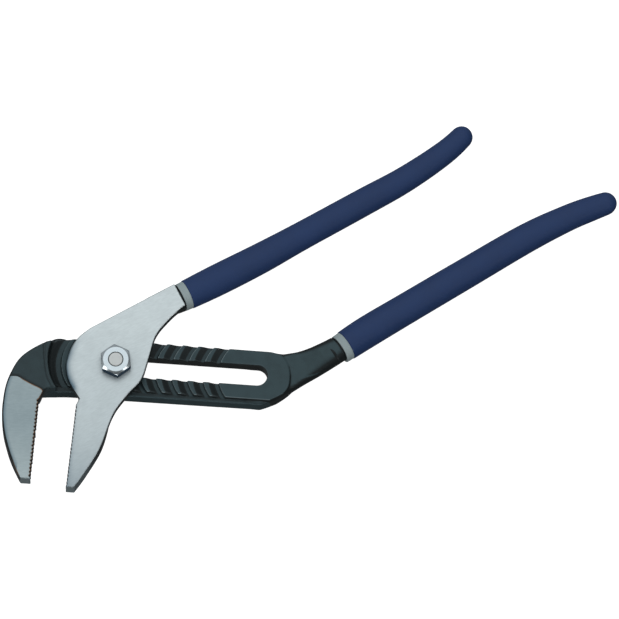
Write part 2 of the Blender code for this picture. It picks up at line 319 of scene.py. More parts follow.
class Nodes:
    """Short way to add and join the nodes of one tree."""

    def __init__(self, tree: bpy.types.NodeTree) -> None:
        """Keep the tree that the nodes go into."""
        self.tree = tree

    def add(self, kind: str, **values: object) -> bpy.types.Node:
        """Add a node, setting its properties by name."""
        node = self.tree.nodes.new(kind)
        for key, value in values.items():
            setattr(node, key, value)
        return node

    def set(self, socket: bpy.types.NodeSocket, value: object) -> None:
        """Join a socket to another one, or give it a plain value."""
        if isinstance(value, bpy.types.NodeSocket):
            self.tree.links.new(value, socket)
        else:
            socket.default_value = value

    def math(self, operation: str, *values: object) -> bpy.types.NodeSocket:
        """Result of a Math node on sockets or numbers."""
        node = self.add("ShaderNodeMath", operation=operation)
        for socket, value in zip(node.inputs, values):
            self.set(socket, value)
        return node.outputs[0]

    def ramp(self, value: object, low: float, high: float, out_low: float = 0.0,
             out_high: float = 1.0) -> bpy.types.NodeSocket:
        """Smooth step of a value between two levels."""
        node = self.add("ShaderNodeMapRange", interpolation_type="SMOOTHSTEP")
        for socket, item in zip(node.inputs, (value, low, high, out_low, out_high)):
            self.set(socket, item)
        return node.outputs["Result"]

    def mix(self, share: object, first: object, second: object) -> bpy.types.NodeSocket:
        """Colour between two colours."""
        node = self.add("ShaderNodeMix", data_type="RGBA")
        self.set(node.inputs["Factor"], share)
        self.set(node.inputs["A"], first)
        self.set(node.inputs["B"], second)
        return node.outputs["Result"]

    def vary(self, share: object, colour: tuple, low: float, high: float) -> bpy.types.NodeSocket:
        """Colour that goes from a darker to a lighter shade of itself with a mask."""
        return self.mix(share, (*(c * low for c in colour), 1), (*(c * high for c in colour), 1))

    def noise(self, vector: bpy.types.NodeSocket, scale: object, detail: float = 3.0) -> bpy.types.NodeSocket:
        """Value of a noise texture around one half."""
        node = self.add("ShaderNodeTexNoise")
        self.set(node.inputs["Vector"], vector)
        self.set(node.inputs["Scale"], scale)
        node.inputs["Detail"].default_value = detail
        return node.outputs["Fac"]


def start_group(name: str, inputs: dict[str, tuple[str, object]],
                outputs: dict[str, str]) -> tuple[Nodes, bpy.types.Node, bpy.types.Node]:
    """Open a node group with named sockets.

    Args:
        name: Group name.
        inputs: Socket type and default value for each input.
        outputs: Socket type for each output.

    Returns:
        Its nodes, its input node and its output node.
    """
    tree = bpy.data.node_groups.new(name, "ShaderNodeTree")
    for key, (kind, default) in inputs.items():
        socket = tree.interface.new_socket(key, in_out="INPUT", socket_type=kind)
        if default is not None:
            socket.default_value = default
    for key, kind in outputs.items():
        tree.interface.new_socket(key, in_out="OUTPUT", socket_type=kind)
    nodes = Nodes(tree)
    return nodes, nodes.add("NodeGroupInput"), nodes.add("NodeGroupOutput")


def grain_group() -> bpy.types.NodeTree:
    """Straight grain left by a grinding belt: noise drawn out along one direction.

    Inputs are the place, the grain's angle in degrees and the strength. Outputs are a mask around one
    half and a normal.
    """
    nodes, source, out = start_group(
        "ground_grain",
        {"Place": ("NodeSocketVector", None), "Angle": ("NodeSocketFloat", 30.0),
         "Strength": ("NodeSocketFloat", 0.2)},
        {"Mask": "NodeSocketFloat", "Normal": "NodeSocketVector"})
    turn = nodes.add("ShaderNodeVectorRotate", rotation_type="Z_AXIS")
    nodes.set(turn.inputs["Vector"], source.outputs["Place"])
    nodes.set(turn.inputs["Angle"], nodes.math("MULTIPLY", source.outputs["Angle"], -math.pi / 180))
    stretch = nodes.add("ShaderNodeVectorMath", operation="MULTIPLY")
    nodes.set(stretch.inputs[0], turn.outputs[0])
    stretch.inputs[1].default_value = (0.22, 1.0, 1.0)
    lines = nodes.noise(stretch.outputs[0], 1300.0, 4.0)
    cloud = nodes.noise(source.outputs["Place"], 90.0, 4.0)
    both = nodes.math("ADD", nodes.math("MULTIPLY", lines, 0.6), nodes.math("MULTIPLY", cloud, 0.4))
    bump = nodes.add("ShaderNodeBump")
    bump.inputs["Distance"].default_value = 0.00002
    nodes.set(bump.inputs["Strength"], source.outputs["Strength"])
    nodes.set(bump.inputs["Height"], both)
    nodes.set(out.inputs["Mask"], both)
    nodes.set(out.inputs["Normal"], bump.outputs[0])
    return nodes.tree


def speckle_group() -> bpy.types.NodeTree:
    """Uneven skin of a forging or of dipped vinyl: coarse waves with a fine pebble over them.

    Inputs are the place, the sizes of the two patterns and the strength. Outputs are a mask around one
    half and a normal.
    """
    nodes, source, out = start_group(
        "uneven_skin",
        {"Place": ("NodeSocketVector", None), "Coarse": ("NodeSocketFloat", 120.0),
         "Fine": ("NodeSocketFloat", 2200.0), "Strength": ("NodeSocketFloat", 0.2)},
        {"Mask": "NodeSocketFloat", "Normal": "NodeSocketVector"})
    coarse = nodes.noise(source.outputs["Place"], source.outputs["Coarse"], 2.0)
    fine = nodes.noise(source.outputs["Place"], source.outputs["Fine"], 3.0)
    height = nodes.math("ADD", nodes.math("MULTIPLY", coarse, 3.0), fine)
    bump = nodes.add("ShaderNodeBump")
    bump.inputs["Distance"].default_value = 0.00005
    nodes.set(bump.inputs["Strength"], source.outputs["Strength"])
    nodes.set(bump.inputs["Height"], height)
    nodes.set(out.inputs["Mask"], nodes.math("MULTIPLY", nodes.math("ADD", coarse, fine), 0.5))
    nodes.set(out.inputs["Normal"], bump.outputs[0])
    return nodes.tree


@dataclass
class Effects:
    """The shared shader groups."""

    grain: bpy.types.NodeTree
    skin: bpy.types.NodeTree

    def place(self, nodes: Nodes, group: bpy.types.NodeTree, **values: float) -> bpy.types.Node:
        """Put a group into a material, fed with Object coordinates."""
        node = nodes.add("ShaderNodeGroup", node_tree=group)
        where = nodes.add("ShaderNodeTexCoord")
        nodes.set(node.inputs["Place"], where.outputs["Object"])
        for key, value in values.items():
            nodes.set(node.inputs[key.capitalize()], value)
        return node


def start_material(name: str) -> tuple[bpy.types.Material, Nodes, bpy.types.Node]:
    """New material with its nodes and its Principled shader."""
    material = bpy.data.materials.new(name)
    material.use_nodes = True
    return material, Nodes(material.node_tree), material.node_tree.nodes["Principled BSDF"]


@dataclass(frozen=True)
class ForgedFinish:
    """Black oxide forging with a face ground bright.

    The mesh carries numbers at each point: depth, in millimetres below the ground face; painted light, how
    much painted light falls on the oxide, more on faces that turn up or to the front and none on the sloping
    sides of the grooves, which stay in painted shade; convex, how sharp an edge it lies on, raised further by
    painted glints and by painted light on ends turned to the front; scorch, where the brown line runs;
    painted steel shade, the painted shade on the ground steel, with a painted darker reflection on rolled
    edges. A hair below the face the bright steel gives way to the scorched line and then to the oxide.
    """

    name: str
    bright: tuple[float, float, float]
    grain_angle: float
    scorch: tuple[float, float, float]
    # Oxide in painted shade, its painted lit copy, the edge colour (edge wear with painted highlights), and
    # the painted darker reflection that the ground steel goes towards.
    shaded_oxide: tuple[float, float, float] = (0.010, 0.0145, 0.0155)
    lit_oxide: tuple[float, float, float] = (0.032, 0.055, 0.062)
    worn_edge_and_highlight: tuple[float, float, float] = (0.26, 0.32, 0.335)
    shade: tuple[float, float, float] = (0.0, 0.05, 0.09)

    def material(self, effects: Effects) -> bpy.types.Material:
        """Build the material."""
        material, nodes, shader = start_material(self.name)
        grain = effects.place(nodes, effects.grain, angle=self.grain_angle, strength=0.16)
        rough = effects.place(nodes, effects.skin, coarse=170.0, fine=2400.0, strength=0.32)
        depth, painted_light, convex, scorch, painted_steel_shade = (
            nodes.add("ShaderNodeAttribute", attribute_name=name).outputs["Fac"]
            for name in ("depth", "painted_light", "convex", "scorch", "painted_steel_shade"))
        wander = nodes.math("MULTIPLY", nodes.math("SUBTRACT", rough.outputs["Mask"], 0.5), 0.25)
        depth = nodes.math("ADD", depth, wander)
        ground = nodes.ramp(depth, 0.10, 0.30, 1.0, 0.0)
        scorched = nodes.math("MULTIPLY", nodes.ramp(depth, 0.4, 0.8, 0.85, 0.0), scorch)
        cloudy = nodes.ramp(rough.outputs["Mask"], 0.34, 0.66, 0.78, 1.12)
        # Painted light: the oxide goes from its painted shaded copy to its painted lit copy.
        black = nodes.mix(nodes.math("MULTIPLY", painted_light, cloudy), (*self.shaded_oxide, 1), (*self.lit_oxide, 1))
        # Edge wear with painted highlights: sharp edges, painted glints and ends lit from the front take the
        # edge colour.
        black = nodes.mix(nodes.ramp(convex, 0.6, 5.0, 0.0, 0.8), black, (*self.worn_edge_and_highlight, 1))
        black = nodes.mix(scorched, black, (*self.scorch, 1))
        steel = nodes.vary(nodes.ramp(grain.outputs["Mask"], 0.3, 0.7), self.bright, 0.93, 1.06)
        # Painted shade on the ground steel: it goes towards the shade colour, a painted darker reflection.
        steel = nodes.mix(painted_steel_shade, (*self.shade, 1), steel)
        nodes.set(shader.inputs["Base Color"], nodes.mix(ground, black, steel))
        nodes.set(shader.inputs["Metallic"], nodes.ramp(ground, 0.0, 1.0, 0.35, 1.0))
        nodes.set(shader.inputs["Roughness"], nodes.ramp(ground, 0.0, 1.0, 0.47, 0.40))
        shader.inputs["Specular IOR Level"].default_value = 0.30
        blend = nodes.add("ShaderNodeMix", data_type="VECTOR")
        nodes.set(blend.inputs["Factor"], ground)
        nodes.set(blend.inputs["A"], rough.outputs["Normal"])
        nodes.set(blend.inputs["B"], grain.outputs["Normal"])
        nodes.set(shader.inputs["Normal"], blend.outputs["Result"])
        return material


@dataclass(frozen=True)
class ZincFinish:
    """Bright zinc plate with faint cloudiness, and painted shade with a painted bluish reflection on flanks
    that a mesh marks.
    """

    name: str
    colour: tuple[float, float, float]
    roughness: float
    # Painted shade on marked flanks, and the painted bluish tint of their reflection.
    side: tuple[float, float, float] = (0.020, 0.026, 0.034)
    rim: tuple[float, float, float] = (0.48, 0.54, 0.62)

    def material(self, effects: Effects) -> bpy.types.Material:
        """Build the material."""
        material, nodes, shader = start_material(self.name)
        cloud = effects.place(nodes, effects.skin, coarse=350.0, fine=3200.0, strength=0.12)
        shade = nodes.vary(cloud.outputs["Mask"], self.colour, 0.9, 1.08)
        # Marked flanks take the painted shade colour and a painted bluish reflection.
        flank = nodes.add("ShaderNodeAttribute", attribute_name="side")
        nodes.set(shader.inputs["Base Color"], nodes.mix(flank.outputs["Fac"], shade, (*self.side, 1)))
        nodes.set(shader.inputs["Metallic"], 1.0)
        tint = nodes.mix(flank.outputs["Fac"], (1, 1, 1, 1), (*self.rim, 1))
        nodes.set(shader.inputs["Specular Tint"], tint)
        nodes.set(shader.inputs["Roughness"],
                  nodes.ramp(cloud.outputs["Mask"], 0.3, 0.7, self.roughness * 0.8, self.roughness * 1.3))
        nodes.set(shader.inputs["Normal"], cloud.outputs["Normal"])
        return material


@dataclass(frozen=True)
class VinylFinish:
    """Dipped vinyl, a little uneven, with a soft gloss."""

    name: str
    colour: tuple[float, float, float]
    roughness: float
    pebble: float

    def material(self, effects: Effects) -> bpy.types.Material:
        """Build the material."""
        material, nodes, shader = start_material(self.name)
        dip = effects.place(nodes, effects.skin, coarse=70.0, fine=1800.0, strength=self.pebble)
        shade = nodes.vary(nodes.ramp(dip.outputs["Mask"], 0.3, 0.7), self.colour, 0.93, 1.07)
        nodes.set(shader.inputs["Base Color"], shade)
        shader.inputs["Specular IOR Level"].default_value = 0.2
        nodes.set(shader.inputs["Roughness"],
                  nodes.ramp(dip.outputs["Mask"], 0.3, 0.7, self.roughness - 0.05, self.roughness + 0.05))
        nodes.set(shader.inputs["Normal"], dip.outputs["Normal"])
        return material


# ---------------------------------------------------------------------------------------------
# The tool's own dimensions
# ---------------------------------------------------------------------------------------------

@dataclass(frozen=True)
class Levels:
    """Heights of the tool above its rest plane."""

    back: float = 5.0
    ledge: float = 13.4
    floor: float = 13.8
    pad: float = 16.3
    plate: float = 16.6
    jaw_back: float = 10.65
    face: float = 23.3
    handle: float = 15.3


@dataclass(frozen=True)
class Handle:
    """Centre line of a handle, as (x, y, half width of the sleeve) from the grey band to the tip."""

    stations: tuple[tuple[float, float, float], ...]
    middle: float
    flatness: float = 0.95
    power: float = 2.08

    def line(self) -> tuple[Array, Array]:
        """Dense samples of the centre line and their distances from the front of the band."""
        samples = smooth_run(self.stations, 40)
        step = np.hypot(*np.diff(samples[:, :2], axis=0).T)
        return samples, np.concatenate([[0.0], np.cumsum(step)])

    @property
    def length(self) -> float:
        """Length from the front of the band to the tip."""
        return float(self.line()[1][-1])

    def at(self, distance: Array) -> tuple[Array, Array, Array]:
        """Centre, heading and half width at distances, running straight on before the band."""
        samples, run = self.line()
        first = (samples[1, :2] - samples[0, :2]) / run[1]
        centre = np.stack([np.interp(distance, run, samples[:, i]) for i in (0, 1)], axis=-1)
        centre = centre + np.minimum(distance, 0.0)[..., None] * first
        slope = np.gradient(samples[:, :2], run, axis=0)
        heading = np.stack([np.interp(distance, run, slope[:, i]) for i in (0, 1)], axis=-1)
        heading /= np.linalg.norm(heading, axis=-1, keepdims=True)
        return centre, heading, np.interp(distance, run, samples[:, 2])

    def poles(self, first: float, last: float) -> Array:
        """Middle of the section at two distances, as points."""
        return np.column_stack([self.at(np.array([first, last]))[0], np.full(2, self.middle)])

    def ahead(self, x: Array, y: Array) -> tuple[Array, Array]:
        """Distance past the front of the band and to the left of the line, for points near the front."""
        origin, heading, _ = self.at(np.array([0.0]))
        (ox, oy), (hx, hy) = origin[0], heading[0]
        return (x - ox) * hx + (y - oy) * hy, -(x - ox) * hy + (y - oy) * hx

    def surface(self, distance: Array, inset: Array, end: Array, columns: int = 64,
                lean: float = 0.0) -> Array:
        """Sections of the sleeve, shrunk by an inset and closed as a dome towards an end.

        A section is a superellipse across the centre line. Its width and height shrink with the square
        root of one minus the square of the way into the dome.

        Args:
            distance: Place of each row along the handle.
            inset: How far each row lies below the sleeve's outside.
            end: Where each row's dome closes.
            columns: Points around.
            lean: How much further along the top of a section lies than its middle.

        Returns:
            Grid of points, rows by columns.
        """
        centre, heading, half = self.at(distance)
        dome = half - inset
        into = np.clip((distance - (end - dome)) / dome, 0, 1)
        shrink = np.sqrt(1 - into ** 2)
        width, height = (half - inset) * shrink, (half * self.flatness - inset) * shrink
        angle = np.linspace(0, 2 * np.pi, columns, endpoint=False)
        across = np.sign(np.cos(angle)) * np.abs(np.cos(angle)) ** (2 / self.power)
        rise = np.sign(np.sin(angle)) * np.abs(np.sin(angle)) ** (2 / self.power)
        side = np.stack([-heading[:, 1], heading[:, 0]], axis=-1)
        ahead = lean * rise[None, :] * (1 - into[:, None])
        grid = np.empty((len(distance), columns, 3))
        grid[..., :2] = (centre[:, None] + side[:, None] * (width[:, None] * across)[..., None]
                         + heading[:, None] * ahead[..., None])
        grid[..., 2] = self.middle + height[:, None] * rise
        return grid

    def field(self, x: Array, y: Array, z: Array, width: tuple, height: tuple, middle: tuple,
              power: float) -> Array:
        """Distance field of the bare steel before the band, its section changing along the way.

        Args:
            x: X of the samples.
            y: Y of the samples.
            z: Z of the samples.
            width: Pairs of distance and half width.
            height: Pairs of distance and half height.
            middle: Pairs of distance and middle height.
            power: Power of the superellipse.

        Returns:
            Roughly the distance, negative inside.
        """
        along, across = self.ahead(x, y)
        half, rise, level = (np.interp(along, *np.transpose(pairs)) for pairs in (width, height, middle))
        reach = (np.abs(across / half) ** power + np.abs((z - level) / rise) ** power) ** (1 / power)
        return (reach - 1) * np.minimum(half, rise)


@dataclass
class Sleeves:
    """The two vinyl layers on one handle: blue over grey, the grey showing as a band in front."""

    handle: Handle
    body: Body
    prefix: str
    band: float = 4.8
    blue_wall: float = 0.9
    grey_wall: float = 0.8
    gap: float = 0.3
    band_inset: float = 0.35
    tip_wall: float = 1.6
    lean: float = 0.9
    rim: float = 0.4

    def cup(self, front: float, inset: float, wall: float, end: float, rows: int) -> tuple[Array, list]:
        """Closed cup: inside from its tip forwards, a half-round rim, then the outside to the tip."""
        lip = wall / 2
        turn = np.radians(np.linspace(-90, 90, 9))[1:-1]
        dome_inner = self.handle.at(np.array([end]))[2][0] - inset - wall
        dome_outer = dome_inner + wall
        spread = np.sin(np.radians(np.linspace(85, 0, 14)))
        inner_end = end - self.tip_wall
        inner = np.concatenate([inner_end - dome_inner + dome_inner * spread,
                                np.linspace(inner_end - dome_inner, front + lip, rows // 2)[1:]])
        outer = np.concatenate([np.linspace(front + lip, end - dome_outer, rows)[:-1],
                                (end - dome_outer + dome_outer * spread)[::-1]])
        distance = np.concatenate([inner, front + lip - lip * np.cos(turn), outer])
        insets = np.concatenate([np.full(len(inner), inset + wall), inset + lip - lip * np.sin(turn),
                                 np.full(len(outer), inset)])
        ends = np.concatenate([np.full(len(inner), inner_end), np.full(len(distance) - len(inner), end)])
        grid = self.handle.surface(distance, insets, ends, lean=self.lean)
        return closed_grid(grid, *self.handle.poles(inner_end, end))

    def build(self, blue: bpy.types.Material, grey: bpy.types.Material) -> None:
        """Make the blue sleeve and the grey layer below it."""
        length = self.handle.length - 0.15
        name = self.prefix
        sleeve = self.cup(self.band, 0.0, self.blue_wall, length, 150)
        add_piece(f"{name}_sleeve", *sleeve, blue, self.body, Slot.BLUE, (f"{name}_grip",))
        add_piece(f"{name}_band", *self.grey_cup(length), grey, self.body, Slot.GREY, (f"{name}_grip_liner",))

    def grey_cup(self, length: float) -> tuple[Array, list]:
        """Closed grey cup whose outside steps down where the blue covers it."""
        covered = self.blue_wall + self.gap
        inside = covered + self.grey_wall
        end = length - self.tip_wall - self.gap
        inner_end = end - self.tip_wall
        radius = self.handle.at(np.array([end]))[2][0]
        spread = np.sin(np.radians(np.linspace(85, 0, 10)))
        inner = np.concatenate([inner_end - (radius - inside) * (1 - spread),
                                np.linspace(inner_end - radius + inside, self.rim, 60)[1:]])
        turn = np.radians(np.linspace(0, 90, 6))
        band = np.concatenate([self.rim * (1 - np.cos(turn)), [1.2, 2.6, 4.0]])
        band_inset = self.band_inset + np.concatenate([self.rim * (1 - np.sin(turn)), np.zeros(3)])
        edge = self.band - 0.15
        step = np.array([edge, edge + 0.1, edge + 0.15])
        step_inset = np.array([self.band_inset, self.band_inset + 0.1, covered])
        outer = np.concatenate([np.linspace(self.band + 0.2, end - radius + covered, 60),
                                end - (radius - covered) * (1 - spread[::-1])])
        distance = np.concatenate([inner, [0.0], band, step, outer])
        insets = np.concatenate([np.full(len(inner), inside), [inside - 0.3], band_inset, step_inset,
                                 np.full(len(outer), covered)])
        ends = np.concatenate([np.full(len(inner), inner_end), np.full(len(distance) - len(inner), end)])
        ends[len(inner):-len(outer)] = length
        grid = self.handle.surface(distance, insets, ends, lean=self.lean)
        return closed_grid(grid, *self.handle.poles(inner_end, end))


def core_grid(handle: Handle) -> tuple[Array, list]:
    """Steel core inside a sleeve, a closed bar with a round end."""
    start, inset, end = -6.0, 2.3, handle.length - 3.8
    radius = handle.at(np.array([end]))[2][0] - inset
    spread = np.sin(np.radians(np.linspace(0, 85, 8)))
    distance = np.concatenate([np.linspace(start, end - radius, 50)[:-1], end - radius + radius * spread])
    grid = handle.surface(distance, np.full(len(distance), inset), np.full(len(distance), end), columns=32)
    return closed_grid(grid, *handle.poles(start, end))


def join_shells(*shells: tuple[Array, list | Array]) -> tuple[Array, list]:
    """Put several closed surfaces into one list of points and faces."""
    points, faces, offset = [], [], 0
    for shell_points, shell_faces in shells:
        points.append(np.asarray(shell_points))
        faces += [tuple(int(i) + offset for i in face) for face in shell_faces]
        offset += len(shell_points)
    return np.concatenate(points), faces


def upward(outward: Array) -> Array:
    """How much a surface faces up: none on a slope of 33 degrees or more, full below 14 degrees."""
    return np.clip((outward[:, 2] - 0.84) / 0.13, 0, 1)


@dataclass
class Lever:
    """What both levers share: a skin over a distance field, joined to the core in its sleeve."""

    levels: Levels
    handle: Handle
    cell: float = 0.5

    def field(self) -> tuple[Array, Lattice]:
        """Distance field of the lever up to just inside the sleeve."""
        raise NotImplementedError

    def masks(self, points: Array, outward: Array, convex: Array) -> dict[str, tuple[Array, float]]:
        """Numbers for the finish and its painted light and shade at each point of the skin, with the value
        that the core gets.
        """
        raise NotImplementedError

    def lattice(self, low: Vector, bottom: float, spare: tuple[float, float]) -> Lattice:
        """Sample box around everything in front of the sleeve.

        Args:
            low: Low corner of the lever's CAD box, in metres.
            bottom: Height where the samples start.
            spare: Room in X and Y past the centre line at the front of the sleeve.

        Returns:
            The sample points.
        """
        far = self.handle.at(np.array([4.0]))[0][0]
        return Lattice((low.x / MM - 2, low.y / MM - 2, bottom),
                       (float(far[0]) + spare[0], float(far[1]) + spare[1], self.levels.face + 2), self.cell)

    def make(self, name: str, finish: bpy.types.Material, body: Body, slot: Slot, node: str) -> None:
        """Make the piece and store its masks."""
        field, lattice = self.field()
        points, faces, outward, convex = skin(field, lattice)
        joined = join_shells((points, faces), core_grid(self.handle))
        piece = add_piece(name, *joined, finish, body, slot, (node,))
        add_masks(piece, **self.masks(points, outward, convex))


@dataclass
class RearLever(Lever):
    """Black forging: hooked jaw with a ground face, head, slotted rack and shank."""

    cell: float = 0.55
    pitch: float = 10.0
    grooves: int = 11
    first_x: float = -10.0
    bearing_r: float = 25.0
    floor_r: float = 27.3
    top_r: float = 31.2
    head_r: float = 32.9
    head_lift: float = 1.2
    head_slope: float = 0.05
    pad_half: float = 15.9
    slot: tuple[float, float, float, float] = (-10.4, 89.9, 0.15, 6.57)
    tooth: tuple[float, float] = (2.54, 1.6)
    crests: tuple[tuple[float, float], tuple[float, float]] = ((-48.1, -79.9), (-46.7, -27.4))

    def jaw_outline(self) -> Array:
        """Hooked jaw and head as the ground face shows them."""
        teeth = toothed_edge(*self.crests, *self.tooth)
        throat = smooth_run([(-45.9, -25.6), (-45.1, -23.2), (-43.6, -21.2), (-41.6, -19.8),
                             (-38.8, -19.1)], 4)
        step = arc((self.first_x, self.head_lift), self.head_r, 217.5, 160.5)
        outer = smooth_run([
            (-42.4, 12.5), (-46.8, 10.5), (-55.6, 4.6), (-61.7, -1.6), (-65.7, -9.6), (-68.6, -19.0),
            (-69.7, -29.5), (-69.6, -39.4), (-67.9, -50.0), (-65.0, -59.6), (-61.1, -69.2), (-55.1, -80.2)])
        return np.concatenate([[(-54.6, -80.75), (-48.2, -80.75)], teeth, throat, step, outer])

    def body_outline(self) -> Array:
        """Rack body at ledge level with the lower half of the head."""
        head = smooth_run([(-66.4, -16.0), (-64.9, -9.2), (-60.8, -1.1), (-55.0, 5.0), (-46.4, 11.6),
                           (-43.2, 14.0), (-40.7, 15.5), (-38.0, 16.3), (-35.0, 16.3), (-32.6, 15.7)])
        root = smooth_run([(92.0, 16.7), (97.0, 16.4), (104.6, 14.6), (109.4, 9.0), (111.6, 1.2),
                           (109.8, -7.0), (102.6, -13.8)])
        foot = [(92.5, -18.3), (-30.0, -19.0), (-43.0, -20.1), (-50.0, -21.0), (-61.0, -20.8)]
        return np.concatenate([head, [(-28.0, 16.4)], root, foot])

    def pad_outline(self) -> Array:
        """Sliding pad with its round end towards the handle."""
        right = smooth_run([(95.0, 16.5), (98.5, 16.2), (104.0, 14.3), (108.5, 8.6), (110.7, 1.0),
                            (110.2, -6.0), (107.4, -10.6), (105.0, -12.4)])
        left = smooth_run([(-46.0, 8.0), (-42.0, 11.9), (-38.5, 14.6), (-35.5, 15.0), (-32.6, 14.9),
                           (-29.5, 15.4), (-27.5, 15.9)])
        return np.concatenate([[(-46.0, -self.pad_half)], left, [(0.0, 16.6), (25.0, 16.9)], right,
                               [(99.0, -self.pad_half)]])

    def crease(self, x: Array, y: Array) -> Array:
        """Distance from the crease on the head, positive on the rack side."""
        line = smooth_run([(-47.4, 16.0), (-46.6, 9.7), (-45.4, 0.0), (-43.0, -11.3), (-39.5, -18.0),
                           (-36.0, -24.0)])
        closed = np.concatenate([line, [(0.0, -30.0), (0.0, 30.0), (-47.8, 30.0)]])
        return -outline_field(closed, x, y)

    def ground_edge(self, x: Array, y: Array) -> Array:
        """Distance into the ungrounded head, measured from the edge of the jaw's ground face."""
        line = smooth_run([(-72.0, -13.9), (-65.1, -13.8), (-61.5, -14.0), (-57.5, -16.2), (-52.4, -18.6),
                           (-47.6, -20.6), (-45.6, -22.0), (-45.4, -23.2), (-46.4, -24.8), (-47.4, -27.4)])
        closed = np.concatenate([line, [(-46.6, -27.6), (-46.6, -90.0), (-80.0, -90.0), (-80.0, -13.9)]])
        return outline_field(closed, x, y)

    def field(self) -> tuple[Array, Lattice]:
        """Distance field of the forging up to just inside the sleeve."""
        at = self.levels
        low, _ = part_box("rear_lever")
        lattice = self.lattice(low, at.back - 2, (6, 14))
        x, y, z = lattice.axes()
        down = at.face - z
        body = outline_field(self.body_outline(), x, y) - 0.16 * (at.ledge - z)
        body = soft_common(body, np.maximum(z - at.ledge, at.back - z), 1.0)
        pad = outline_field(self.pad_outline(), x, y) - 0.02 * (at.pad - z)
        pad = soft_common(pad, np.maximum(z - at.pad, at.back + 2 - z), 0.5)
        pad = self.cut_grooves(pad, x, y, z)
        solid = soft_union(body, pad, 0.7)
        solid = soft_union(solid, self.shank(x, y, z), 2.5)
        flank = outline_field(self.jaw_outline(), x, y)
        draft = 0.015 * np.clip(-(x + 52.0) / 6.0, 0, 1)
        sunk = np.clip(self.ground_edge(x, y), 0, None)
        crease = self.crease(x, y)
        sink = 0.9 * (1 - np.exp(-sunk / 1.6)) + 0.7 * np.exp(-(crease / 0.65) ** 2) * (sunk > 0)
        sink = sink + 0.10 * np.clip(crease, 0, None) ** 1.3
        wall = self.head_r - np.hypot(x - self.first_x, y - self.head_lift) + self.head_slope * (down - 1.0)
        head = soft_common(flank - draft * down, wall / math.hypot(1, self.head_slope), 0.8)
        edge = np.where(sunk > 0.5, 1.2, 0.35 + 1.5 * np.clip(-(x + 56.0) / 5.0, 0, 1))
        head = soft_common(head, sink - down, edge)
        head = soft_common(head, at.jaw_back - z, 0.6)
        solid = soft_union(solid, head, 1.4)
        slot = np.hypot(x - np.clip(x, *self.slot[:2]), y - self.slot[2]) - self.slot[3]
        return soft_common(solid, -slot, 0.5), lattice

    def cut_grooves(self, pad: Array, x: Array, y: Array, z: Array) -> Array:
        """Rack with its curved grooves: a steep wall that takes the load and a sloping far side."""
        at = self.levels
        for index in range(self.grooves):
            radius = np.hypot(x - self.first_x - self.pitch * index, y)
            if index == 0:
                base, top = self.floor_r + 1.0, self.head_r
            else:
                base, top = self.floor_r, self.top_r
            slope = math.atan2(at.pad - at.floor, top - base)
            far = (radius - base) * math.sin(slope) - (z - at.floor) * math.cos(slope)
            groove = soft_common(self.bearing_r - radius, far, 0.3)
            groove = soft_common(groove, at.floor - z, 0.6)
            groove = np.where(x < self.first_x + self.pitch * index, groove, 9.0)
            pad = soft_common(pad, -groove, 0.25)
        return pad

    def shank(self, x: Array, y: Array, z: Array) -> Array:
        """Arm that rises from the end of the rack into the sleeve, a slab with well rounded edges."""
        upper = smooth_run([(84.0, 14.0), (97.2, 15.8), (104.0, 16.2), (109.9, 17.3), (115.3, 18.6),
                            (122.4, 21.4), (129.5, 25.2), (135.1, 28.6), (142.0, 33.0)])
        lower = smooth_run([(151.0, 19.0), (141.4, 12.0), (131.0, 4.9), (120.5, -1.8), (110.1, -9.0),
                            (102.0, -14.2), (97.0, -16.9), (92.5, -18.1), (84.0, -16.0)])
        side = outline_field(np.concatenate([upper, lower]), x, y)
        along, _ = self.handle.ahead(x, y)
        rise = np.interp(along, (-50, -38, -24, -12, 0), (4.3, 4.6, 5.6, 7.0, 7.8))
        level = np.interp(along, (-50, -38, -24, -12, 0), (9.4, 9.8, 11.6, 13.8, 15.3))
        soft = np.interp(along, (-50, -24, 0), (2.0, 5.0, 9.0))
        arm = soft_common(side, np.abs(z - level) - rise, soft)
        return np.maximum(arm, along + 0.3)

    def build(self, finish: bpy.types.Material) -> None:
        """Make the lever and its core."""
        self.make("black_lever", finish, Body.REAR, Slot.BLACK, "rear_lever")

    def masks(self, points: Array, outward: Array, convex: Array) -> dict[str, tuple[Array, float]]:
        """Numbers for the finish and its painted light and shade at each point of the skin, with the value
        that the core gets.
        """
        x, y, z = points.T
        bottom = self.ground_edge(x, y)
        (low_x, low_y), (high_x, high_y) = self.crests
        crest = np.interp(y, (low_y, high_y), (low_x, high_x))
        depth = np.maximum(self.levels.face - z, bottom)
        depth = np.where((x > crest - 0.9) & (y < -27.0) & (y > -79.0), np.maximum(depth, 0.45), depth)
        scorch = np.clip((x + 61.0) / 4.0, 0, 1) * (y > -79)
        painted_light, glint = self.painted_lighting(x, y, z, outward)
        # Painted glints, and painted light on the jaw's tip end that faces the front, raise the edge colour.
        convex = convex + glint + 4.4 * (outward[:, 1] < -0.7) * (y < -78)
        # Painted shade on the ground steel: darker through the middle of the jaw, and a painted darker
        # reflection on its rolled outer edge.
        inside = -outline_field(self.jaw_outline(), x, y)
        painted_roll_shade = 1 - (1 - np.interp(inside, (0.4, 1.5, 3.2), (0.30, 0.66, 1.0))) * (x < -57)
        painted_steel_shade = np.interp(y, (-80, -66, -45, -14), (1.0, 0.90, 0.74, 0.80)) * painted_roll_shade
        # Painted shade on the head's top next to the edge of the ground face.
        painted_light = painted_light * np.where(z > 17.5, np.interp(bottom, (1.0, 2.6), (0.0, 1.0)), 1.0)
        return {"scorch": (scorch, 0.0), "depth": (depth, 9.0), "painted_light": (painted_light, 0.0),
                "convex": (convex, 0.0), "painted_steel_shade": (painted_steel_shade, 1.0)}

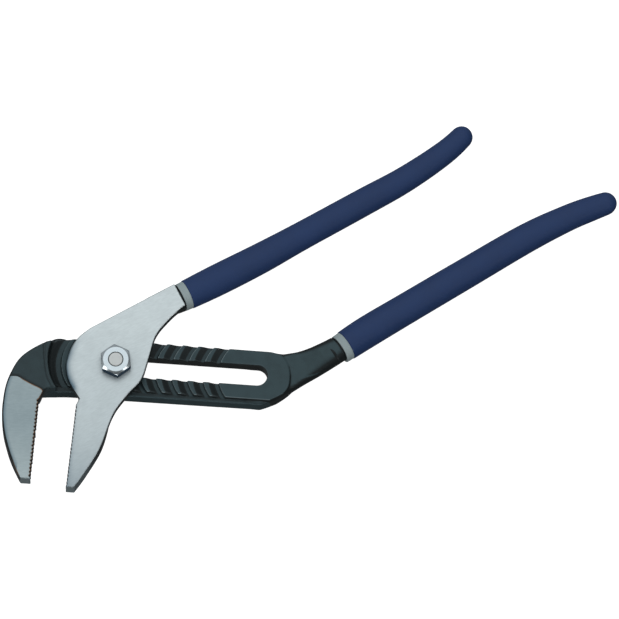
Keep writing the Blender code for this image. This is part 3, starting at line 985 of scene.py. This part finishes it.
    def painted_lighting(self, x: Array, y: Array, z: Array, outward: Array) -> tuple[Array, Array]:
        """Painted light and shade on the oxide, and where painted glints fall on edges.

        Args:
            x: X of the points.
            y: Y of the points.
            z: Z of the points.
            outward: Outward directions.

        Returns:
            Painted light from none to full: full on flat tops, less on groove floors, ledges, low faces and
            towards the head, none on the sloping side of a groove, which is painted shade, and more on faces
            turned to the front. Glint, a painted highlight, which adds to how convex a point counts: along
            the bearing edge and the near end of every ridge.
        """
        slope, floor, edge = (np.zeros(x.shape, bool) for _ in range(3))
        for index in range(self.grooves):
            centre = self.first_x + self.pitch * index
            radius = np.hypot(x - centre, y)
            left = x < centre
            outer = self.top_r if index else self.head_r + 1.6
            lip = self.floor_r if index else self.floor_r + 1.0
            slope |= left & (radius > lip) & (radius < outer)
            floor |= left & (radius > self.bearing_r) & (radius <= lip)
            edge |= left & (np.abs(radius - self.bearing_r + 0.25) < 0.35)
        head_end, rack_end = -44.0, 98.0
        rack = (z > self.levels.ledge - 0.1) & (z < self.levels.pad + 0.2) & (np.abs(outward[:, 2]) > 0.45)
        rack &= (np.abs(y) < self.pad_half + 0.9) & (x > head_end)
        top = rack & ~slope & ~floor & (z > self.levels.pad - 0.5)
        # Painted shade: less painted light towards the head and on low faces.
        dull = 1 - 0.35 * np.clip(-(x + 41.0) / 4.0, 0, 1)
        painted_light = upward(outward) * (1 - 0.25 * (z < 14.5)) * dull
        # Painted shade on the sloping side of each groove, less painted light on groove floors, full on the
        # tops.
        painted_light = np.where(rack & slope, 0.0, painted_light)
        painted_light = np.where(rack & floor & (outward[:, 2] > 0.7), 0.72, painted_light)
        painted_light = np.where(top, 1.0, painted_light)
        # Painted shade on the ledge below the rack, and painted light on faces turned to the front.
        ledge = (y < -self.pad_half - 0.3) & (np.abs(z - self.levels.ledge) < 0.5)
        ledge &= (outward[:, 2] > 0.7) & (x < rack_end)
        painted_light = np.where(ledge, 0.3, painted_light) + np.clip(-2.4 * outward[:, 1] - 1.0, 0, 1.0) * (y < -16.5)
        # Painted glints along the bearing edges and at the near ends of the ridges.
        glint = 1.3 * (edge & top & (y > 0) & (x > 15)) + 0.5 * (edge & top & (y < 0))
        glint = glint + 1.5 * (top & (y < 0.9 - self.pad_half) & (x > 15))
        return painted_light, glint


@dataclass
class FrontLever(Lever):
    """Bright lever: ground plate across the rack, thick jaw, tongue and handle root."""

    tooth: tuple[float, float] = (2.54, 0.85)
    crests: tuple[tuple[float, float], tuple[float, float]] = ((-23.3, -30.2), (-25.5, -83.5))
    tongue: tuple[float, float, float] = (25.4, 27.0, 14.2)
    bore_r: float = 5.05

    def plate_outline(self) -> Array:
        """Edge of the ground face, from the band round by the jaw and back."""
        bulge = smooth_run([(-17.9, 21.9), (-24.6, 15.6), (-29.0, 8.6), (-31.3, 1.0), (-31.6, -6.0),
                            (-28.8, -14.6), (-21.2, -25.4)])
        teeth = toothed_edge(*self.crests, *self.tooth)
        right = smooth_run([
            (-20.3, -84.4), (-14.3, -74.5), (-5.7, -57.2), (0.9, -34.5), (9.2, -20.4), (17.0, -9.8),
            (20.6, 4.6), (24.1, 19.8), (31.3, 30.8), (39.9, 40.5)])
        return np.concatenate([[(42.6, 61.1), (31.9, 54.2)], bulge, teeth, [(-25.4, -84.4)], right,
                               [(52.0, 46.0)]])

    def bulge(self, x: Array, y: Array) -> Array:
        """One at the middle of the round edge over the head, none away from it."""
        return np.exp(-(np.hypot(x + 32.5, y + 1.0) / 15.0) ** 4)

    def jaw_outline(self) -> Array:
        """Full-thickness jaw, clear of the rail through the whole swing."""
        teeth = toothed_edge(*self.crests, *self.tooth)
        right = smooth_run([(-20.3, -84.4), (-14.3, -74.5), (-5.7, -57.2), (-2.2, -43.0), (-1.4, -33.0)])
        return np.concatenate([[(-21.6, -25.6), (-22.2, -23.0), (-9.8, -21.6)], right[::-1], [(-25.4, -84.4)],
                               teeth[::-1]])

    def field(self) -> tuple[Array, Lattice]:
        """Distance field of the lever up to just inside the sleeve."""
        at = self.levels
        low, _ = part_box("front_lever")
        lattice = self.lattice(low, at.handle - 10.5, (7, 12))
        x, y, z = lattice.axes()
        plate = outline_field(self.plate_outline(), x, y)
        roll = 0.5 + 1.6 * self.bulge(x, y)
        slab = soft_common(plate, at.plate - z, 0.5)
        thick = outline_field(self.jaw_outline(), x, y) - 0.04 * (at.plate - z)
        thick = soft_common(thick, np.maximum(at.jaw_back - z, z - at.face + 1), 0.8)
        solid = soft_union(slab, thick, 0.6)
        solid = soft_union(solid, self.root(x, y, z), 1.5)
        solid = soft_union(solid, self.rib(x, y, z), 0.5)
        solid = soft_common(solid, z - at.face, roll)
        along, _ = self.handle.ahead(x, y)
        solid = np.maximum(solid, along + 0.3)
        return soft_common(solid, self.bore_r - np.hypot(x, y), 0.3), lattice

    def root(self, x: Array, y: Array, z: Array) -> Array:
        """Handle root that swells from the plate's back to the full section of the handle."""
        width = ((-20, 7.4), (-10, 8.1), (0, 8.5))
        height = ((-20, 3.0), (-13, 4.6), (-5, 7.4), (0, 8.1))
        middle = ((-20, 19.6), (-13, 18.2), (-5, 15.9), (0, 15.3))
        arm = self.handle.field(x, y, z, width, height, middle, 3.2)
        along, _ = self.handle.ahead(x, y)
        return np.maximum(arm, -along - 20)

    def rib(self, x: Array, y: Array, z: Array) -> Array:
        """Tongue: a curved rib that drops into one groove."""
        inner, outer, low = self.tongue
        radius = np.hypot(x, y)
        angle = np.degrees(np.arctan2(y, -x))
        ends = (np.abs(angle) - 36.0) * radius * math.pi / 180
        lift = np.clip(z - low, 0, None) * 0.6
        return np.maximum(np.maximum(np.maximum(inner - radius, radius - outer - lift), ends),
                          np.maximum(low - z, z - self.levels.plate - 1))

    def build(self, finish: bpy.types.Material) -> None:
        """Make the lever and its core."""
        self.make("bright_lever", finish, Body.FRONT, Slot.STEEL, "front_lever")

    def masks(self, points: Array, outward: Array, convex: Array) -> dict[str, tuple[Array, float]]:
        """Numbers for the finish and its painted light and shade at each point of the skin, with the value
        that the core gets.
        """
        x, y, z = points.T
        reach = 0.2 + 1.3 * self.bulge(x, y)
        depth = self.levels.face - z - reach
        # Painted light on the lower part of the jaw's right side, added to the painted light of faces that
        # turn up.
        flank = (np.abs(outward[:, 2]) < 0.5) & (outward[:, 0] > 0.3)
        lit_lower_flank = 0.55 * np.clip((-58.0 - y) / 14.0, 0, 1) * flank
        painted_light = upward(outward) + lit_lower_flank
        # Painted light on the jaw's tip end that faces the front and on the lower right side, through the
        # edge colour.
        front_lit_ends = 4.8 * (outward[:, 1] < -0.7) * (y < -82) + 5.0 * lit_lower_flank
        # Painted shade on the ground steel: darker towards the jaw's tip, and a painted darker reflection on
        # the rolled edge over the head.
        edge = -outline_field(self.plate_outline(), x, y)
        painted_roll_shade = np.interp(edge, (0.8, 2.0, 3.6, 5.4), (0.20, 0.48, 0.84, 1.0))
        place = np.clip((x + 21.0) / -4.0, 0, 1) * np.interp(y, (-24, -18, 4, 16), (0.4, 1.0, 0.85, 0.0))
        painted_steel_shade = np.interp(y, (-84, -60, -40, 0, 25), (0.58, 0.78, 0.87, 0.93, 1.0))
        painted_steel_shade = painted_steel_shade * (1 - place * (1 - painted_roll_shade))
        return {"depth": (depth, 9.0), "painted_light": (painted_light, 0.0), "convex": (0.3 * convex + front_lit_ends, 0.0),
                "painted_steel_shade": (painted_steel_shade, 1.0)}


@dataclass
class Pivot:
    """Shouldered bolt and hexagon nut."""

    levels: Levels
    head_r: float = 10.5
    shoulder_r: float = 6.3
    stud_r: float = 4.5
    flats: float = 18.2
    face_r: float = 7.95
    turn: float = 40.0
    top: float = 30.9
    stud_top: float = 31.1
    gap: float = 0.3
    chamfer_angle: float = 33.0
    shaded_flank_rows: tuple[int, int] = (4, 13)

    def turned(self, profile: Array, columns: int = 96) -> tuple[Array, list]:
        """Solid of revolution about the pivot axis from rows of radius and height."""
        angle = np.linspace(0, 2 * np.pi, columns, endpoint=False)
        grid = np.empty((len(profile), columns, 3))
        grid[..., 0] = profile[:, :1] * np.cos(angle)
        grid[..., 1] = profile[:, :1] * np.sin(angle)
        grid[..., 2] = profile[:, 1:]
        return closed_grid(grid, np.array([0, 0, profile[0, 1]]), np.array([0, 0, profile[-1, 1]]))

    def bolt_profile(self) -> Array:
        """Flat head with a rounded rim, shoulder, and a chamfered stud."""
        at = self.levels
        head, shoulder = at.back - self.gap, at.plate - self.gap
        rim = arc((self.head_r - 1.0, 1.0), 1.0, -90, 0, 8)
        under = arc((self.head_r - 0.5, head - 0.5), 0.5, 0, 90, 5)
        top = self.stud_top
        stud = [(self.stud_r, shoulder), (self.stud_r, top - 0.4), (self.stud_r - 0.08, top - 0.2),
                (self.stud_r - 0.25, top - 0.04), (self.stud_r - 0.5, top)]
        neck = [(self.shoulder_r, head), (self.shoulder_r, shoulder - 0.3), (self.shoulder_r - 0.3, shoulder)]
        return np.concatenate([[(self.head_r * 0.5, 0.0)], rim, under, neck, stud,
                               [(self.stud_r * 0.45, self.stud_top)]])

    def nut(self, columns: int = 180) -> tuple[Array, list, Array]:
        """Hexagon whose corners are turned away by a cone, with a round bore.

        Around the axis the flats are the circle's in-radius over the cosine of the angle from the flat's
        middle. The cone meets each flat where its radius equals that value.
        """
        low = self.levels.face + self.gap
        angle = np.linspace(0, 2 * np.pi, columns, endpoint=False)
        local = (angle - math.radians(self.turn) + math.pi / 6) % (math.pi / 3) - math.pi / 6
        flat = self.flats / 2 / np.cos(math.pi / 6 - np.abs(local))
        slope = math.tan(math.radians(self.chamfer_angle))
        meet = self.top - (flat - self.face_r) * slope
        foot = low + (flat - self.flats / 2) * slope
        bore = self.stud_r + self.gap
        rim = self.flats / 2 - 0.1
        rows = [(bore + (rim - bore) * t, low) for t in np.linspace(0, 1, 4)]
        rows.append((flat - 0.08, foot))
        rows += [(flat, foot + 0.1 + (meet - foot - 0.22) * t) for t in np.linspace(0, 1, 8)]
        cone = self.face_r - flat + 0.22, self.top - meet - 0.12
        rows += [(flat - 0.12 + cone[0] * t, meet + 0.06 + cone[1] * t) for t in np.linspace(0, 1, 8)]
        ring = self.face_r - bore - 0.28
        rows += [(self.face_r - 0.1 - ring * t, self.top) for t in np.linspace(0, 1, 4)]
        rows.append((bore + 0.04, self.top - 0.12))
        rows += [(bore, self.top - 0.3 + (low - self.top + 0.3) * t) for t in np.linspace(0, 1, 6)[:-1]]
        radius, height = (np.stack([np.broadcast_to(row[i], angle.shape) for row in rows]) for i in (0, 1))
        grid = np.stack([radius * np.cos(angle), radius * np.sin(angle), height], axis=-1)
        faces = ring_faces(len(grid), columns, len(grid))
        # Rows of the flats that get painted shade.
        side = np.zeros((len(grid), columns))
        side[slice(*self.shaded_flank_rows)] = 1.0
        return grid.reshape(-1, 3), faces.tolist(), side.ravel()

    def build(self, zinc: bpy.types.Material, dull: bpy.types.Material) -> None:
        """Make the bolt and the nut."""
        add_piece("slot_bolt", *self.turned(self.bolt_profile()), dull, Body.PIVOT, Slot.ZINC,
                  ("pivot_bolt",), 35)
        points, faces, side = self.nut()
        piece = add_piece("hexagon_nut", points, faces, zinc, Body.PIVOT, Slot.ZINC, ("pivot_nut",), 28)
        # The nut's flats carry painted shade.
        add_masks(piece, side=(side, 0.0))


# ---------------------------------------------------------------------------------------------
# Studio
# ---------------------------------------------------------------------------------------------

def face_along(thing: bpy.types.Object, right: Array, up: Array, back: Array, place: Array) -> None:
    """Turn and place a lamp or a camera by its own right, up and back directions, in metres."""
    matrix = np.eye(4)
    matrix[:3, 0], matrix[:3, 1], matrix[:3, 2], matrix[:3, 3] = right, up, back, place
    thing.matrix_world = Matrix(matrix.tolist())
    bpy.context.scene.collection.objects.link(thing)


@dataclass(frozen=True)
class Studio:
    """Pale floor, soft light and the camera."""

    tilt: float = 17.0
    roll: float = 4.2
    aim: tuple[float, float, float] = (120.1, 46.3, 16.3)
    width: float = 394.3
    lens: float = 1000.0
    sensor: float = 36.0
    floor_glow: float = 0.97
    zenith: float = 1.16
    horizon: float = 0.12

    def axes(self) -> tuple[Array, Array, Array]:
        """Right, up and back directions of the camera."""
        roll, tilt = math.radians(self.roll), math.radians(self.tilt)
        right = np.array([math.cos(roll), math.sin(roll), 0.0])
        level = np.array([-math.sin(roll), math.cos(roll), 0.0])
        lift = np.array([0.0, 0.0, 1.0])
        up = level * math.cos(tilt) + lift * math.sin(tilt)
        return right, up, lift * math.cos(tilt) - level * math.sin(tilt)

    def add_camera(self) -> None:
        """Long lens, far enough away to frame the stated width at the aim."""
        data = bpy.data.cameras.new("camera")
        data.lens = self.lens
        data.sensor_width = self.sensor
        camera = bpy.data.objects.new("camera", data)
        right, up, back = self.axes()
        place = (np.array(self.aim) + back * self.width * self.lens / self.sensor) * MM
        face_along(camera, right, up, back, place)
        data.clip_end = 40.0
        bpy.context.scene.camera = camera

    def add_floor(self) -> None:
        """Wide pale floor just below the bolt head."""
        half, level = 6.0, -0.0004
        mesh = bpy.data.meshes.new("floor")
        corners = [(half * a, half * b, level) for a, b in ((-1, -1), (1, -1), (1, 1), (-1, 1))]
        mesh.from_pydata(corners, [], [(0, 1, 2, 3)])
        material, nodes, shader = start_material("floor_paper")
        nodes.set(shader.inputs["Base Color"], (0.35, 0.35, 0.35, 1))
        nodes.set(shader.inputs["Roughness"], 1.0)
        nodes.set(shader.inputs["Specular IOR Level"], 0.0)
        nodes.set(shader.inputs["Emission Color"], (1, 1, 1, 1))
        nodes.set(shader.inputs["Emission Strength"], self.floor_glow)
        mesh.materials.append(material)
        floor = bpy.data.objects.new("floor", mesh)
        bpy.context.scene.collection.objects.link(floor)
        floor.visible_diffuse = False
        floor.visible_glossy = False

    def add_light(self, name: str, place: tuple, size: float, power: float) -> None:
        """Square soft light aimed at the middle of the tool."""
        data = bpy.data.lights.new(name, "AREA")
        data.shape = "SQUARE"
        data.size = size
        data.energy = power
        lamp = bpy.data.objects.new(name, data)
        lamp.visible_camera = False
        aim = np.array(self.aim) * MM
        back = np.array(place) - aim
        back /= np.linalg.norm(back)
        right = np.cross([0.0, 1.0, 0.05], back)
        right /= np.linalg.norm(right)
        face_along(lamp, right, np.cross(back, right), back, place)

    def add_sky(self) -> None:
        """Soft dome: bright overhead, falling off smoothly to a dim horizon."""
        world = bpy.data.worlds.new("studio")
        world.use_nodes = True
        nodes = Nodes(world.node_tree)
        split = nodes.add("ShaderNodeSeparateXYZ")
        nodes.set(split.inputs[0], nodes.add("ShaderNodeTexCoord").outputs["Generated"])
        background = world.node_tree.nodes["Background"]
        background.inputs["Color"].default_value = (0.94, 0.98, 1.0, 1)
        lean = nodes.math("ADD", nodes.math("MULTIPLY", split.outputs["Z"], 0.956),
                          nodes.math("MULTIPLY", split.outputs["Y"], 0.292))
        dome = nodes.ramp(lean, 0.38, 0.92, self.horizon, self.zenith)
        far_side = nodes.ramp(split.outputs["Y"], 0.3, 1.0, 0.0, 0.25)
        left_side = nodes.ramp(split.outputs["X"], -0.2, -0.9, 0.0, 0.20)
        glow = nodes.math("ADD", dome, nodes.math("ADD", far_side, left_side))
        nodes.set(background.inputs["Strength"], glow)
        bpy.context.scene.world = world

    def build(self) -> None:
        """Set up everything around the object."""
        self.add_camera()
        self.add_floor()
        self.add_light("left_box", (-1.15, -0.66, 0.92), 0.48, 2.6)
        self.add_light("right_box", (1.25, -0.66, 0.92), 0.48, 2.6)
        self.add_light("low_front", (0.1, -1.6, 0.38), 0.5, 5.5)
        self.add_sky()
        bpy.context.scene.view_settings.view_transform = "Standard"


FRONT_STATIONS = (
    (37.6, 48.2, 9.4), (59.8, 61.7, 10.1), (86.5, 78.4, 9.8), (111.5, 95.2, 9.1), (149.0, 120.4, 8.9),
    (175.0, 138.1, 8.4), (199.0, 158.0, 7.7), (213.2, 174.0, 6.9))
REAR_STATIONS = (
    (141.2, 21.3, 9.7), (157.3, 34.1, 10.2), (181.2, 51.5, 10.0), (217.4, 77.6, 9.8), (253.8, 103.6, 9.4),
    (278.8, 118.9, 8.5), (295.0, 127.1, 7.9), (310.1, 133.8, 6.9))


def main() -> None:
    """Build every piece of the pliers and the studio."""
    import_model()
    levels = Levels()
    effects = Effects(grain_group(), speckle_group())
    rear_handle = Handle(REAR_STATIONS, levels.handle)
    front_handle = Handle(FRONT_STATIONS, levels.handle)
    black = ForgedFinish("black_forging", (0.335, 0.390, 0.398), 4.0, (0.24, 0.125, 0.06))
    bright = ForgedFinish("ground_plate", (0.52, 0.565, 0.572), 28.0, (0.020, 0.022, 0.022))
    zinc = ZincFinish("zinc_plate", (0.56, 0.62, 0.65), 0.22).material(effects)
    dull = ZincFinish("turned_steel", (0.50, 0.51, 0.50), 0.42).material(effects)
    blue = VinylFinish("navy_vinyl", (0.0153, 0.0365, 0.109), 0.52, 0.22).material(effects)
    grey = VinylFinish("grey_vinyl_layer", (0.29, 0.345, 0.35), 0.55, 0.22).material(effects)
    Studio().build()
    RearLever(levels, rear_handle).build(black.material(effects))
    FrontLever(levels, front_handle).build(bright.material(effects))
    Pivot(levels).build(zinc, dull)
    Sleeves(rear_handle, Body.REAR, "rear").build(blue, grey)
    Sleeves(front_handle, Body.FRONT, "front").build(blue, grey)


if __name__ == "__main__":
    logging.basicConfig(level=logging.INFO)
    main()
